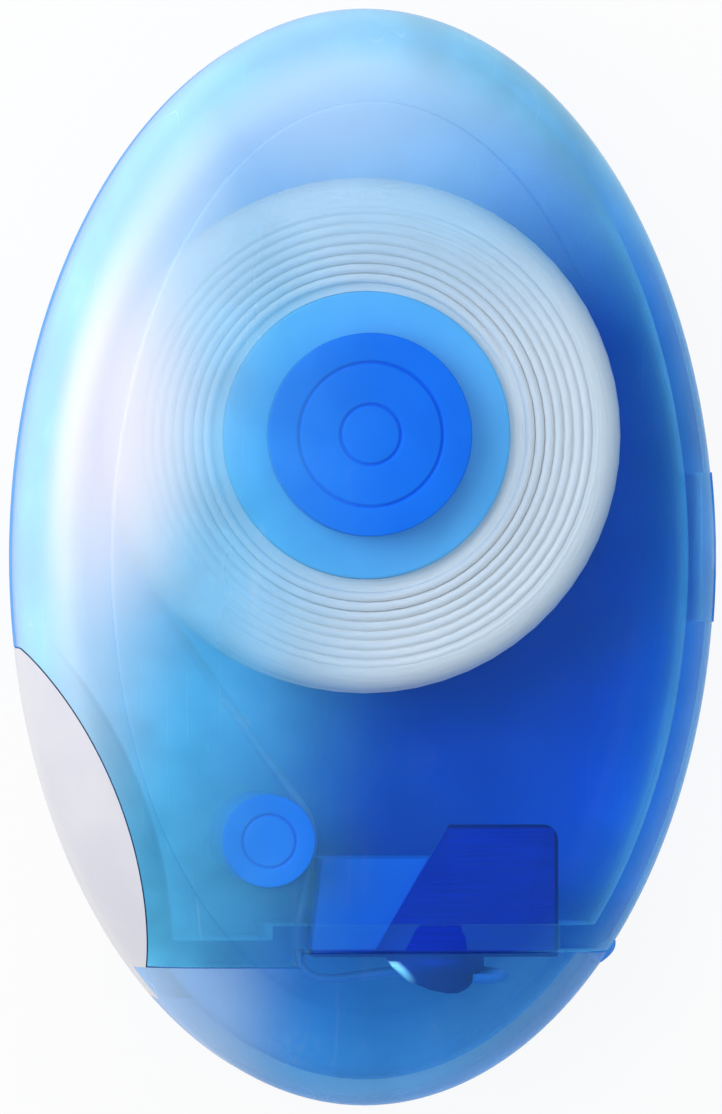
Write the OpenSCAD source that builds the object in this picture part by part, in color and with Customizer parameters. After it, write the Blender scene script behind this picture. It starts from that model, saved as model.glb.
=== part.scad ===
// Egg-shaped dental floss dispenser, lying on its back face.
// X runs across the front, Y along the egg towards its round top, Z out of the front face.

/* [Case] */
// Length over the outline
case_len = 55; // [53:0.5:58]
// Width over the outline
case_w = 35.2; // [34.4:0.2:37]
// Thickness over both flat faces
case_t = 14; // [13.4:0.2:16]
// Wall of the case and of the lid
wall = 1.3; // [1.1:0.1:1.5]
// Rounding between a face and the side
edge_r = 4.6; // [4:0.1:5]
// Length of the flat pad on each face
pad_len = 45.4; // [42:0.2:45.6]
// Width of the flat pad on each face
pad_w = 26.2; // [24:0.2:28]
// Height that each pad stands proud
pad_h = 0.2; // [0.1:0.05:0.4]
// Thickness of the lip that joins the two halves
lip_t = 0.5; // [0.4:0.05:0.6]
// Height of the lip on each side of the joint
lip_h = 0.8; // [0.6:0.1:1.2]
// Clearance between pieces that are pressed together
fit = 0.05; // [0.03:0.01:0.08]

/* [Case hinge and snap] */
// Length of the strap that joins the two halves
strap_len = 7.5; // [6:0.5:9]
// Height of the strap through the thickness
strap_h = 6.8; // [5:0.2:7.4]
// Thickness of the strap
strap_t = 0.8; // [0.6:0.1:0.9]
// Middle of the strap above the middle of the egg
strap_y = 0.5; // [-1:0.5:2]
// Depth of the fold line in the strap
fold_d = 0.35; // [0.2:0.05:0.5]
// Width of the snap tab
snap_w = 2.6; // [2:0.2:3.4]
// Thickness of the snap tab
snap_t = 1.2; // [0.8:0.1:1.4]
// Depth of the barb and of its ledge
barb = 0.4; // [0.3:0.05:0.5]
// Middle of the snap above the platform
snap_up = 19.3; // [19:0.1:20.4]

/* [Lid] */
// Depth of the lid along the egg
lid_len = 7.1; // [6.6:0.1:7.4]
// Gap between the lid and the case
lid_gap = 0.15; // [0.1:0.05:0.25]
// Radius of the hollow that the thumb tab fills
notch_r = 23.4; // [22:0.2:25]
// Width of the thumb tab at its foot
tab_foot = 0.7; // [0.4:0.1:1]
// Length of the tab's root inside the lid wall
root_len = 1.6; // [1.2:0.1:2.2]
// Width of the tab's root through the thickness
root_w = 6; // [4:0.5:7]
// Radius of the bead of the lid's hinge
bead_r = 0.25; // [0.2:0.01:0.3]
// Length of the bead
bead_len = 6; // [4:0.5:8]
// Distance of the hinge line outside the outline
bead_out = 0.1; // [0.05:0.01:0.15]

/* [Spool and floss] */
// Middle of the spool above the middle of the egg
hub_y = 6.1; // [5:0.1:6.6]
// Radius of the hub post
post_r = 4.5; // [4.2:0.1:4.7]
// Width of the collars that the spool runs between, beyond its bore
collar_rim = 0.48; // [0.4:0.02:0.8]
// Wall of the hub post
post_wall = 0.8; // [0.6:0.1:1]
// Gap between the hub plug and the floor
plug_gap = 0.4; // [0.2:0.05:0.6]
// Radius of the bore through the hub plug
plug_bore_r = 1.5; // [1:0.1:2]
// Running clearance of the spool
run_gap = 0.1; // [0.06:0.01:0.14]
// Wall of the spool's barrel
barrel_wall = 2.6; // [2.4:0.1:2.8]
// Height of the spool's barrel
barrel_h = 7.6; // [7:0.1:8]
// Room between the lip and the wound floss under its outer layer
floss_room = 3.45; // [3.2:0.05:3.8]
// Height of the wound floss under its outer layer
pack_h = 6; // [5.6:0.1:6.2]
// Rounding of the wound floss
pack_round = 1.2; // [1:0.1:1.4]
// Diameter of the floss
floss_d = 0.5; // [0.44:0.02:0.52]
// Turns in the outer layer
turns = 15; // [13:1:15]

/* [Guide and cutter] */
// Radius of the guide that the floss runs round
guide_r = 2.31; // [2:0.01:2.4]
// Radius of the pin inside the guide
guide_pin_r = 1.3; // [1.1:0.1:1.4]
// Distance of the guide left of the middle
guide_left = 5.08; // [4.8:0.02:5.2]
// Distance of the guide above the platform
guide_up = 6.24; // [6:0.02:6.5]
// Width of the floss outlet
outlet_w = 0.9; // [0.8:0.05:1]
// Height of the floss outlet through the thickness
outlet_h = 1.4; // [1.2:0.1:2]
// Distance of the platform's step left of the middle
step_left = 3.6; // [3.6:0.05:3.8]
// Rise of the platform at the cutter
step_h = 0.7; // [0.6:0.05:0.8]
// Distance of the holder's right end from the outline
holder_inset = 2.58; // [2.4:0.02:3]
// Height of the holder above its foot
holder_h = 4.6; // [4:0.1:5]
// Depth of the holder through the thickness
holder_d = 6.2; // [5.8:0.1:6.6]
// Set-back of the holder's top beside the floss
holder_slant = 0.5; // [0.4:0.05:0.8]
// Thickness of the cutter's sheet
sheet_t = 0.35; // [0.25:0.05:0.4]
// Height of the cutter's plate above the holder's foot
plate_h = 6.3; // [5.6:0.1:6.8]
// Width of the cutter's plate at its foot
plate_w = 9.4; // [9:0.1:9.8]
// Width of the slanted side of the plate
slant_w = 3.9; // [3.4:0.1:4.4]
// Corner radius of the plate
plate_r = 0.75; // [0.5:0.05:1]
// Depth of the flange under the holder
flange_d = 3.6; // [3:0.1:4.2]
// Width of the cutting tooth
tooth_w = 4.8; // [4.4:0.1:5.2]
// Drop of the cutting tooth below the flange
tooth_drop = 1.8; // [1.6:0.1:2]

/* [Hidden] */
$fn = 96;

// Overrun of a cut past the faces that it opens
over = 1;
// Depth that a post or rib is rooted in the wall that carries it
root = 0.3;

half_w = case_w / 2;
half_len = case_len / 2;
mid_z = case_t / 2;
floor_z = pad_h + wall;
ceiling_z = case_t - floor_z;

platform_y = lid_len - half_len;
step_y = platform_y + step_h;
notch_x = tab_foot - outline_x(platform_y) - notch_r;
strap_x = half_w - strap_t;
snap_y = platform_y + snap_up;
snap_x = lip_t + fit + wall + fit + barb / 2 - outline_x(snap_y);

// Half the outline's width at a distance along the egg from its middle
function outline_x(y) = half_w * sqrt(1 - pow(y / half_len, 2));

// The hinge line of the lid lies just outside the outline, level with the lid's gap
hinge_y = step_y - lid_gap / 2;
hinge_x = outline_x(hinge_y) + bead_out;

guide_x = -guide_left;
guide_y = platform_y + guide_up;
holder_x = outlet_w - step_left;
holder_w = outline_x(step_y) - holder_inset - holder_x;
holder_z = mid_z - holder_d / 2 - sheet_t;
plate_z = holder_z + holder_d;
plate_right = holder_x + holder_w - fit;
bore_r = post_r + run_gap;
collar_r = bore_r + collar_rim;
barrel_r = bore_r + barrel_wall;
barrel_z = mid_z - barrel_h / 2;
pack_r = half_w - wall - fit - lip_t - floss_room;

// The outer layer lies clear of the pack by this much between two rings of its tube
lay_gap = 0.03;
rings = 24;
sides = 6;
floss_r = floss_d / 2;
bend_r = 0.8 * floss_d;
wind_r = (pack_r + lay_gap + floss_r) / cos(180 / rings);
wind_z = pack_h / 2 + lay_gap + floss_r;
wind_in = barrel_r + floss_d + bend_r;
wind_round = pack_round + lay_gap + floss_r;

// Route of the floss from the spool, round the guide, out and behind the tooth
lead_route = [
    [-10.7, -1.8, 7], [-8.8, -4.4, 7], [-6.9, -7.1, 7], [-5, -9.8, 7], [-3.1, -12.4, 7],
    [-2.6, -13.3, 7], [-2.45, -14.2, 7], [-2.55, -15, 7], [-2.8, -16.8, 7], [-3.1, -18.4, 7],
    [-3.15, -19.8, 7], [-3, -20.6, 7.1], [-2.4, -21.1, 7.3], [-1.4, -21.2, 7.6],
    [0, -21, 8], [1.5, -20.8, 8.4], [3.2, -20.7, 8.7], [4.9, -20.7, 8.8], [6, -20.8, 9],
    [6.8, -20.9, 9.6], [6.9, -21, 10.3], [6.3, -21.1, 10.9], [5.3, -21.1, 11.1]];
lead_sides = 8;

// A solid with the egg's outline, sunk by an inset on every side
module egg(inset) {
    reach = half_len - inset;
    rise = mid_z - pad_h - inset;
    corner = edge_r - inset;
    share = (half_w - inset) / reach;
    translate([0, 0, mid_z]) scale([share, 1, 1]) rotate_extrude() intersection() {
        union() {
            translate([0, -rise]) square([reach - corner, 2 * rise]);
            translate([0, corner - rise]) square([reach, 2 * (rise - corner)]);
            for (side = [-1, 1]) translate([reach - corner, side * (rise - corner)]) circle(corner);
        }
        translate([0, -case_t]) square([case_len, 2 * case_t]);
    }
}

// A flat elliptic pad that stands proud of a face, rooted in its wall
module pad(z) {
    translate([0, 0, z]) intersection() {
        scale([pad_w / pad_len, 1, 1])
            cylinder(r = pad_len / 2, h = 2 * (pad_h + root + over), center = true);
        translate([-pad_w, -pad_len, 0]) cube([2 * pad_w, 2 * pad_len, pad_h + root]);
    }
}

// The egg with both of its pads
module padded_egg() {
    egg(0);
    pad(0);
    pad(case_t - pad_h - root);
}

// A block over the whole width, from one height along the egg down to below it
module below(top, left = -case_w, right = case_w) {
    translate([left, -case_len, -over]) cube([right - left, top + case_len, case_t + 2 * over]);
}

// A block over the whole egg, on one side of the joint between the halves
module half_space(front) {
    translate([-case_w, -case_len, front ? mid_z : -case_t])
        cube([2 * case_w, 2 * case_len, case_t + (front ? 0 : mid_z)]);
}

// Everything that isn't case, the lid's space and the thumb tab's, grown into the case by a wall
module lid_space(grow = 0) {
    below(platform_y + grow);
    below(step_y + grow, left = -step_left - grow);
    translate([notch_x, platform_y, -over]) cylinder(r = notch_r + grow, h = case_t + 2 * over);
}

// The hollow inside the case, behind the platform and the wall of the thumb hollow
module case_hollow() {
    difference() {
        egg(wall);
        lid_space(wall);
    }
}

// A tube or a rod that stands along the thickness
module tube(x, y, z0, z1, r, bore = 0) {
    translate([x, y, z0]) difference() {
        cylinder(r = r, h = z1 - z0);
        if (bore > 0) translate([0, 0, -over]) cylinder(r = bore, h = z1 - z0 + 2 * over);
    }
}

// What both halves leave open: window, outlet, strap and hinge bead
module case_openings() {
    translate([holder_x - fit, platform_y - over, holder_z - fit])
        cube([holder_w + 2 * fit, step_h + wall + 2 * over, holder_d + sheet_t + 2 * fit]);
    translate([-step_left, platform_y - over, mid_z - outlet_h / 2])
        cube([outlet_w, step_h + wall + 2 * over, outlet_h]);
    strap_block(over);
    tube(hinge_x, hinge_y, mid_z - bead_len / 2, mid_z + bead_len / 2, bead_r);
}

// The block that the strap fills
module strap_block(extra = 0) {
    translate([strap_x, strap_y - strap_len / 2, mid_z - strap_h / 2])
        cube([strap_t + extra, strap_len, strap_h]);
}

// One half of the case without what stands inside it; the back half carries the foot of the lip
module half_case(front) {
    difference() {
        padded_egg();
        difference() {
            case_hollow();
            if (!front) lip_ring(wall - root, mid_z - lip_h, mid_z + root);
        }
        lid_space();
        half_space(!front);
        case_openings();
    }
}

// The lip of the back half, which reaches into the front half
module lip() {
    difference() {
        lip_ring(wall + fit, mid_z - lip_h / 2, mid_z + lip_h);
        lid_space(wall + fit);
    }
}

// A ring along the inside of the wall, from an inset inwards, open where the snap stands
module lip_ring(outer, z0, z1) {
    difference() {
        ring_wall(outer, wall + fit + lip_t, z0, z1);
        translate([-half_w, snap_y - snap_w / 2 - fit, 0]) cube([half_w, snap_w + 2 * fit, case_t]);
    }
}

// An upright elliptic wall between two insets from the outline
module ring_wall(outer, inner, z0, z1) {
    translate([0, 0, z0]) difference() {
        upright(outer, z1 - z0);
        translate([0, 0, -over]) upright(inner, z1 - z0 + 2 * over);
    }
}

// An upright elliptic block at one inset from the outline
module upright(inset, h) {
    scale([(half_w - inset) / (half_len - inset), 1, 1]) cylinder(r = half_len - inset, h = h);
}

// Front half: snap tab, hub plug, front collar and the guide's socket
module front_shell() color("dodgerblue", 0.6) {
    half_case(true);
    snap_z = mid_z - lip_h - 3 * barb;
    translate([snap_x, snap_y - snap_w / 2, snap_z]) cube([snap_t, snap_w, ceiling_z + root - snap_z]);
    translate([snap_x - barb, snap_y - snap_w / 2, snap_z]) cube([barb + root, snap_w, 2 * barb]);
    tube(0, hub_y, floor_z + plug_gap, ceiling_z + root, post_r - post_wall - run_gap, plug_bore_r);
    tube(0, hub_y, barrel_z + barrel_h + run_gap, ceiling_z + root, collar_r, bore_r);
    tube(guide_x, guide_y, floor_z + wall, ceiling_z + root, guide_r, guide_pin_r + fit);
}

// Back half: lip, snap ledge, hub post, back collar and the guide's pin
module back_shell() color("dodgerblue", 0.6) {
    half_case(false);
    lip();
    ledge_z = mid_z - lip_h - barb + fit;
    translate([wall - root - half_w, snap_y - snap_w / 2, ledge_z])
        cube([snap_x - fit - wall + root + half_w, snap_w, lip_h]);
    tube(0, hub_y, floor_z - root, ceiling_z - wall / 2, post_r, post_r - post_wall);
    tube(0, hub_y, floor_z - root, barrel_z - run_gap, collar_r, post_r - post_wall);
    tube(guide_x, guide_y, floor_z - root, ceiling_z - wall, guide_pin_r);
}

// Strap that the two halves fold round when the case is shut for good
module case_hinge_strap() color("royalblue", 0.7) {
    difference() {
        strap_block();
        translate([half_w, strap_y, mid_z]) rotate([0, 45, 0])
            cube([fold_d * sqrt(2), strap_len + 2 * over, fold_d * sqrt(2)], center = true);
    }
}

// Barrel that turns on the hub post
module spool_barrel() color("lightskyblue")
    tube(0, hub_y, barrel_z, barrel_z + barrel_h, barrel_r, bore_r);

// The wound floss under its outer layer
module floss_pack() color("white")
    translate([0, hub_y, mid_z]) rotate_extrude() difference() {
        half = pack_h / 2;
        union() {
            translate([0, -half]) square([pack_r - pack_round, pack_h]);
            translate([0, pack_round - half]) square([pack_r, pack_h - 2 * pack_round]);
            for (side = [-1, 1]) translate([pack_r - pack_round, side * (half - pack_round)])
                circle(pack_round);
        }
        translate([0, -pack_h]) square([barrel_r, 2 * pack_h]);
    }

// Outer layer: out over the front, along the rim and in over the back, as radius and height
flat_run = wind_r - wind_round - wind_in;
turn_run = wind_round * PI / 2;
side_run = 2 * (wind_z - wind_round);
wind_run = 2 * flat_run + 2 * turn_run + side_run;
function across(s) =
    s < flat_run ? [wind_in + s, wind_z]
    : s < flat_run + turn_run ? rim_corner((s - flat_run) / turn_run * 90)
    : s <= wind_run / 2 ? [wind_r, wind_z - wind_round - (s - flat_run - turn_run)]
    : mirror_z(across(wind_run - s));
function rim_corner(angle) = [wind_r - wind_round * (1 - sin(angle)),
                              wind_z - wind_round * (1 - cos(angle))];
function mirror_z(p) = [p[0], -p[1]];

function turned(p, angle, z) = [p[0] * cos(angle) - p[1] * sin(angle),
                                p[0] * sin(angle) + p[1] * cos(angle), z];

// Each end leaves the barrel squarely and bends into the first or the last turn
bend_steps = 3;
stub = [for (i = [0 : bend_steps])
    [wind_in - bend_r * (1 - sin(90 * i / bend_steps)), -bend_r * cos(90 * i / bend_steps)]];
last_angle = 360 * turns;
wind_route = concat(
    [turned([barrel_r + lay_gap / 2, -bend_r], 0, wind_z)],
    [for (p = [for (i = [0 : bend_steps - 1]) stub[i]]) turned(p, 0, wind_z)],
    [for (i = [0 : rings * turns]) let (p = across(wind_run * i / (rings * turns)))
        turned([p[0], 0], 360 * i / rings, p[1])],
    [for (i = [bend_steps - 1 : -1 : 0]) turned([stub[i][0], -stub[i][1]], last_angle, -wind_z)],
    [turned([barrel_r + lay_gap / 2, bend_r], last_angle, -wind_z)]);

// Least gap between turns: rings more than half a turn apart along the tube
function least_gap(route, d) = min([for (i = [0 : len(route) - 1], j = [i + rings / 2 : 1 : len(route) - 1])
    norm(route[i] - route[j])]) - d;

// A tube swept along a route, with its rings square to the route at each point
function unit(v) = v / norm(v);
function heading(route, i) = unit(
    route[min(i + 1, len(route) - 1)] - route[max(i - 1, 0)]);
function bisector(route, i) =
    i == 0 || i == len(route) - 1 ? heading(route, i)
    : unit(unit(route[i + 1] - route[i]) + unit(route[i] - route[i - 1]));
function ring(route, i, r, n) =
    let (along = bisector(route, i),
         side = unit(cross([0, 0, 1], along)),
         up = cross(along, side))
    [for (k = [0 : n - 1]) route[i] + r * (cos(360 * k / n) * side + sin(360 * k / n) * up)];
module swept(route, r, n) {
    count = len(route);
    polyhedron(
        points = [for (i = [0 : count - 1]) each ring(route, i, r, n)],
        faces = concat(
            [for (k = [1 : n - 2]) [0, k, k + 1]],
            [for (i = [0 : count - 2], k = [0 : n - 1]) let (m = (k + 1) % n)
                each [[i * n + k, (i + 1) * n + k, (i + 1) * n + m],
                      [i * n + k, (i + 1) * n + m, i * n + m]]],
            [for (k = [1 : n - 2]) [for (m = [0, k + 1, k]) (count - 1) * n + m]]));
}

// The outer layer of floss as one unbroken tube
module floss_winding() color("white") {
    echo(least_gap = least_gap(wind_route, floss_d));
    translate([0, hub_y, mid_z]) swept(wind_route, floss_r, sides);
}

// The free end of the floss, from the spool to the tooth
module floss_lead() color("white") swept(lead_route, floss_r, lead_sides);

// Block that closes the platform and carries the cutter
module cutter_holder() color("blue", 0.7)
    translate([holder_x, step_y, holder_z]) linear_extrude(holder_d)
        polygon([[0, 0], [holder_w, 0], [holder_w, holder_h], [holder_slant, holder_h]]);

// Cutter: a plate in front of the holder, a flange under it and the tooth
module cutter() color("slategray") {
    foot = step_y - sheet_t;
    plate_left = plate_right - plate_w;
    top = step_y + plate_h;
    tooth_right = plate_right - plate_w / 2 + tooth_w / 5;
    translate([0, 0, plate_z]) linear_extrude(sheet_t) {
        polygon([[plate_left, foot], [plate_right, foot], [plate_right, top - plate_r],
                 [plate_right - plate_r, top], [plate_left + slant_w, top]]);
        translate([plate_right - plate_r, top - plate_r]) circle(plate_r);
        polygon([[tooth_right - tooth_w, step_y], [tooth_right - tooth_w, foot],
                 [tooth_right - tooth_w / 3, foot - tooth_drop],
                 [tooth_right - tooth_w / 5, foot - tooth_drop],
                 [tooth_right, foot - tooth_drop / 4], [tooth_right, step_y]]);
    }
    translate([0, 0, plate_z - flange_d]) linear_extrude(flange_d + sheet_t / 2)
        polygon([[holder_x, foot], [plate_right, foot], [plate_right, step_y], [holder_x, step_y]]);
}

// The lid's outer skin, cut where the case and the tab's root stand
module lid_dome() color("cornflowerblue", 0.6) {
    difference() {
        padded_egg();
        egg(wall);
        above_lid();
        root_block(over);
        tube(hinge_x, hinge_y, mid_z - bead_len / 2 - fit, mid_z + bead_len / 2 + fit, bead_r + fit);
    }
}

// Everything above the lid's upper edge, which steps up beside the cutter
module above_lid() {
    translate([-case_w, platform_y - lid_gap, -over])
        cube([case_w - step_left + lid_gap, case_len, case_t + 2 * over]);
    translate([-step_left, step_y - lid_gap, -over])
        cube([case_w, case_len, case_t + 2 * over]);
}

// The space in the lid's left wall that the tab's root fills
module root_block(extra = 0) {
    translate([-half_w, platform_y - lid_gap - root_len, mid_z - root_w / 2])
        cube([half_w / 2, root_len + extra, root_w]);
}

// Tab that fills the thumb hollow, rooted in the lid's left wall
module thumb_tab() color("whitesmoke") {
    intersection() {
        egg(0);
        difference() {
            translate([notch_x, platform_y, 0]) cylinder(r = notch_r - lid_gap, h = case_t);
            difference() {
                below(platform_y - lid_gap);
                root_block(over);
            }
        }
    }
    intersection() {
        difference() {
            egg(0);
            egg(wall);
        }
        root_block();
    }
}

// Bead of the living hinge between the case and the lid
module lid_hinge_bead() color("royalblue")
    tube(hinge_x, hinge_y, mid_z - bead_len / 2, mid_z + bead_len / 2, bead_r);

front_shell();
back_shell();
case_hinge_strap();
spool_barrel();
floss_pack();
floss_winding();
floss_lead();
cutter_holder();
cutter();
lid_dome();
thumb_tab();
lid_hinge_bead();
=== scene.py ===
"""Dental floss dispenser, dressed around its packed construction.

The pieces are modelled in millimetres, in the frame of the construction: X across the front, Y along the
egg to its round top, Z out of the front face. Each is scaled to metres when its mesh is done.
"""

import logging
import math
from dataclasses import dataclass
from enum import Enum
from typing import NamedTuple, Sequence

import bmesh
import bpy
from mathutils import Matrix, Vector


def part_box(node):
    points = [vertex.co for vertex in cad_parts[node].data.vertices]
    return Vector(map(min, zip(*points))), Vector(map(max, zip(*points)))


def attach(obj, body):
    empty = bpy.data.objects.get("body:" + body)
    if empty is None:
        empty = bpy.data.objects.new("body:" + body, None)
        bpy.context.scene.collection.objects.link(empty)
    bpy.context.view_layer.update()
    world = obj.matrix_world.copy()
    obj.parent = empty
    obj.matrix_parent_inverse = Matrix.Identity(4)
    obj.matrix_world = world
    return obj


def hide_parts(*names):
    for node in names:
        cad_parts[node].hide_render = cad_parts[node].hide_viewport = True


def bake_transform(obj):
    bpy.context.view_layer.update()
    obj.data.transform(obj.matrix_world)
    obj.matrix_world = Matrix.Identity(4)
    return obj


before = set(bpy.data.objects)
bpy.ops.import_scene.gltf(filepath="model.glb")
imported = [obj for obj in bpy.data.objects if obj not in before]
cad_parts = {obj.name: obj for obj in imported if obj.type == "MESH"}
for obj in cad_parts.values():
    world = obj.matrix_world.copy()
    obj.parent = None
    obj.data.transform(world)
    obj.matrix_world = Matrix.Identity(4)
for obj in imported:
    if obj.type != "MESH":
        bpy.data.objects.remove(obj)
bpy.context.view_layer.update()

MM = 0.001
CLOSE = 1e-3
HUB = (0.0, 6.1)
log = logging.getLogger("dispenser")

Colour = tuple[float, float, float]
Triple = tuple[float, float, float]
Span = tuple[float, float]
Socket = bpy.types.NodeSocket
Material = bpy.types.Material
NodeTree = bpy.types.NodeTree
Object = bpy.types.Object
BMesh = bmesh.types.BMesh


class Body(Enum):
    """The bodies that pieces ride on."""

    CASE = "case"
    SPOOL = "spool"
    LID = "lid"


class Half(Enum):
    """The two halves of the case, with the side of the joint that each is on."""

    FRONT = 1
    BACK = -1


class Carve(Enum):
    """How one solid changes another."""

    CUT = "DIFFERENCE"
    KEEP = "INTERSECT"
    JOIN = "UNION"


class Ring(NamedTuple):
    """An ellipse square to Z: half its width, half its length and its height."""

    a: float
    b: float
    z: float


# Mesh tools


def mm_box(node: str) -> tuple[Vector, Vector]:
    """The lowest and highest corners of a node, in millimetres.

    Args:
        node: Name of the node.

    Returns:
        The two corners.
    """
    low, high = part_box(node)
    return low / MM, high / MM


def arc(centre: Span, radius: float, start: float, end: float, steps: int) -> list[tuple]:
    """Points along an arc.

    Args:
        centre: The arc's centre, as across and up.
        radius: Its radius.
        start: First angle in degrees, from across towards up.
        end: Last angle in degrees.
        steps: Number of steps between them.

    Returns:
        The points, ends included.
    """
    angles = [math.radians(start + (end - start) * i / steps) for i in range(steps + 1)]
    return [(centre[0] + radius * math.cos(t), centre[1] + radius * math.sin(t)) for t in angles]


def circle(radius: float, sides: int) -> list[tuple]:
    """The corners of a regular section of a thread."""
    return arc((0, 0), radius, 0, 360, sides)[:-1]


def spun_rings(rings: Sequence[Ring], steps: int, centre: Span = (0, 0)) -> BMesh:
    """Spins a chain of vertices about Z and lays each turn on its own ellipse.

    Args:
        rings: The ellipses in order along the outline, closed where the first and last meet.
        steps: Number of steps round.
        centre: Place of the axis.

    Returns:
        The closed solid.
    """
    bm = bmesh.new()
    chain = [bm.verts.new((1 + i, 0, 0)) for i in range(len(rings))]
    edges = [bm.edges.new(pair) for pair in zip(chain, chain[1:])]
    bmesh.ops.spin(
        bm, geom=chain + edges, cent=(0, 0, 0), axis=(0, 0, 1), angle=math.tau, steps=steps, use_merge=True
    )
    for v in bm.verts:
        ring = rings[round(math.hypot(v.co.x, v.co.y)) - 1]
        turn = math.atan2(v.co.y, v.co.x)
        v.co = (centre[0] + ring.a * math.cos(turn), centre[1] + ring.b * math.sin(turn), ring.z)
    return closed(bm)


def closed(bm: BMesh) -> BMesh:
    """Merges doubles and points the faces outwards.

    Args:
        bm: The mesh.

    Returns:
        The same mesh.
    """
    bmesh.ops.remove_doubles(bm, verts=bm.verts, dist=1e-4)
    bmesh.ops.recalc_face_normals(bm, faces=bm.faces)
    return bm


def turned_solid(outline: Sequence[tuple], steps: int, centre: Span) -> BMesh:
    """A round solid about an upright axis.

    Args:
        outline: Radius and height of each point of its closed section.
        steps: Number of steps round.
        centre: Place of the axis.

    Returns:
        The closed solid.
    """
    points = list(outline) + [outline[0]]
    return spun_rings([Ring(r, r, z) for r, z in points], steps, centre)


def softened(outline: Sequence[tuple], radius: float, steps: int = 3) -> list[tuple]:
    """Rounds each corner of a closed outline off the axis.

    Args:
        outline: Its corners.
        radius: Radius of the rounding, at most a third of each side.
        steps: Number of steps in each rounding.

    Returns:
        The rounded outline.
    """
    rounded: list[tuple] = []
    count = len(outline)
    for i, corner in enumerate(outline):
        here = Vector(corner)
        if here.x < radius:
            rounded.append(tuple(here))
            continue
        before, after = Vector(outline[i - 1]) - here, Vector(outline[(i + 1) % count]) - here
        reach = min(radius, before.length / 3, after.length / 3)
        start, end = here + before.normalized() * reach, here + after.normalized() * reach
        for k in range(steps + 1):
            t = k / steps
            rounded.append(tuple(start * (1 - t) ** 2 + here * 2 * t * (1 - t) + end * t * t))
    return rounded


def block(low: Sequence[float], high: Sequence[float], edge: float = 0) -> BMesh:
    """A block between two corners.

    Args:
        low: Its lowest corner.
        high: Its highest corner.
        edge: Width of the bevel on its edges.

    Returns:
        The block.
    """
    bm = bmesh.new()
    bmesh.ops.create_cube(bm, size=1)
    size = Vector(high) - Vector(low)
    bmesh.ops.scale(bm, vec=size, verts=bm.verts)
    bmesh.ops.translate(bm, vec=Vector(low) + size / 2, verts=bm.verts)
    if edge:
        bevelled(bm, bm.edges[:], edge)
    return bm


def bevelled(bm: BMesh, edges: list, width: float, segments: int = 2) -> None:
    """Rounds edges of a mesh.

    Args:
        bm: The mesh.
        edges: The edges.
        width: Width of the rounding.
        segments: Number of faces across it.
    """
    bmesh.ops.bevel(
        bm, geom=edges, offset=width, offset_type="OFFSET", segments=segments, profile=0.5,
        affect="EDGES", clamp_overlap=True, material=-1,
    )


def prism(corners: Sequence[tuple], z0: float, z1: float, edge: float = 0) -> BMesh:
    """An outline pushed up along Z.

    Args:
        corners: The outline's corners, anticlockwise.
        z0: Height of its foot.
        z1: Height of its top.
        edge: Width of the bevel on its edges.

    Returns:
        The prism.
    """
    bm = bmesh.new()
    foot = bm.faces.new([bm.verts.new((x, y, z0)) for x, y in corners])
    grown = bmesh.ops.extrude_face_region(bm, geom=[foot])["geom"]
    top = [v for v in grown if isinstance(v, bmesh.types.BMVert)]
    bmesh.ops.translate(bm, vec=(0, 0, z1 - z0), verts=top)
    bmesh.ops.recalc_face_normals(bm, faces=bm.faces)
    if edge:
        bevelled(bm, bm.edges[:], edge)
    return bm


def solid(name: str, bm: BMesh) -> Object:
    """An object that holds a mesh, still in millimetres.

    Args:
        name: Its name.
        bm: The mesh, which is freed.

    Returns:
        The object.
    """
    mesh = bpy.data.meshes.new(name)
    bm.to_mesh(mesh)
    bm.free()
    made = bpy.data.objects.new(name, mesh)
    bpy.context.scene.collection.objects.link(made)
    return made


def carved(target: Object, how: Carve, *tools: BMesh) -> Object:
    """Cuts, keeps or joins solids.

    Args:
        target: The object that changes.
        how: What the tools do to it.
        tools: Closed solids, which are used up.

    Returns:
        The target.
    """
    for bm in tools:
        tool = solid("carving_tool", bm)
        step = target.modifiers.new(how.name.title(), "BOOLEAN")
        step.operation, step.solver, step.object = how.value, "EXACT", tool
        bpy.context.view_layer.update()
        done = bpy.data.meshes.new_from_object(target.evaluated_get(bpy.context.evaluated_depsgraph_get()))
        target.modifiers.clear()
        old, target.data = target.data, done
        done.name = target.name
        bpy.data.meshes.remove(old)
        bpy.data.meshes.remove(tool.data)
    return target


def mesh_of(part: Object) -> BMesh:
    """The mesh of an object, which is used up.

    Args:
        part: The object.

    Returns:
        Its mesh.
    """
    bm = bmesh.new()
    bm.from_mesh(part.data)
    bpy.data.objects.remove(part)
    return bm


def shown(
    piece: Object | BMesh,
    name: str,
    body: Body | None,
    finish: Material,
    replaces: Sequence[str] = (),
    crease: float = 32,
) -> Object:
    """Scales a piece to metres, dresses it and lets it ride on its body.

    Args:
        piece: Its object or mesh in millimetres.
        name: Its name.
        body: The body that it moves with, or None where it bends between two.
        finish: Its material.
        replaces: Nodes that it stands for.
        crease: Angle in degrees past which an edge is sharp.

    Returns:
        The finished piece.
    """
    made = piece if isinstance(piece, Object) else solid(name, piece)
    made.name = made.data.name = name
    made.data.transform(Matrix.Scale(MM, 4))
    made.data.shade_smooth()
    made.data.set_sharp_from_angle(angle=math.radians(crease))
    made.data.materials.clear()
    made.data.materials.append(finish)
    if body:
        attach(made, body.value)
    if replaces:
        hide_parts(*replaces)
    log.info("%s: %d faces, rides on %s", name, len(made.data.polygons), body.value if body else "two bodies")
    return made


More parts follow.
